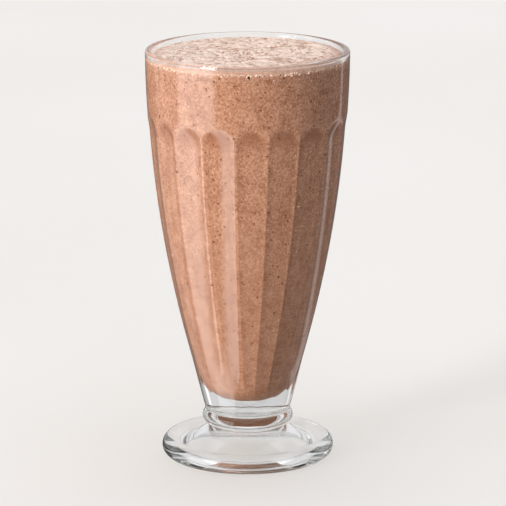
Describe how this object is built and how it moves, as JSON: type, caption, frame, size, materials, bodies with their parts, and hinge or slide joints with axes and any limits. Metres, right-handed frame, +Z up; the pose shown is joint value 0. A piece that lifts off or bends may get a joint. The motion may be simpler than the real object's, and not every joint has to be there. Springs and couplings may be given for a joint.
{
  "type": "chocolate milkshake in a footed glass",
  "caption": "Chocolate milkshake with a pale froth on top, in a clear footed glass with a fluted, tapering bowl, a ring under the bowl and a hollow foot",
  "frame": {"origin": "centre of the foot's underside, on the surface it stands on", "axes": "+Z up along the glass's axis of turning; -Y is the side seen in front"},
  "size_m": [0.088, 0.088, 0.18],
  "materials": {
    "glass": "clear pressed soda-lime glass, fire-polished and smooth",
    "milkshake": "opaque blended chocolate milk, soft and wet, with fine cocoa specks and tiny air bubbles",
    "froth": "pale cocoa froth, satin, with swirled folds, small pits and bubbles"
  },
  "bodies": {
    "root": {"glass": "glass", "milkshake": "milkshake", "froth": "froth"}
  },
  "joints": []
}
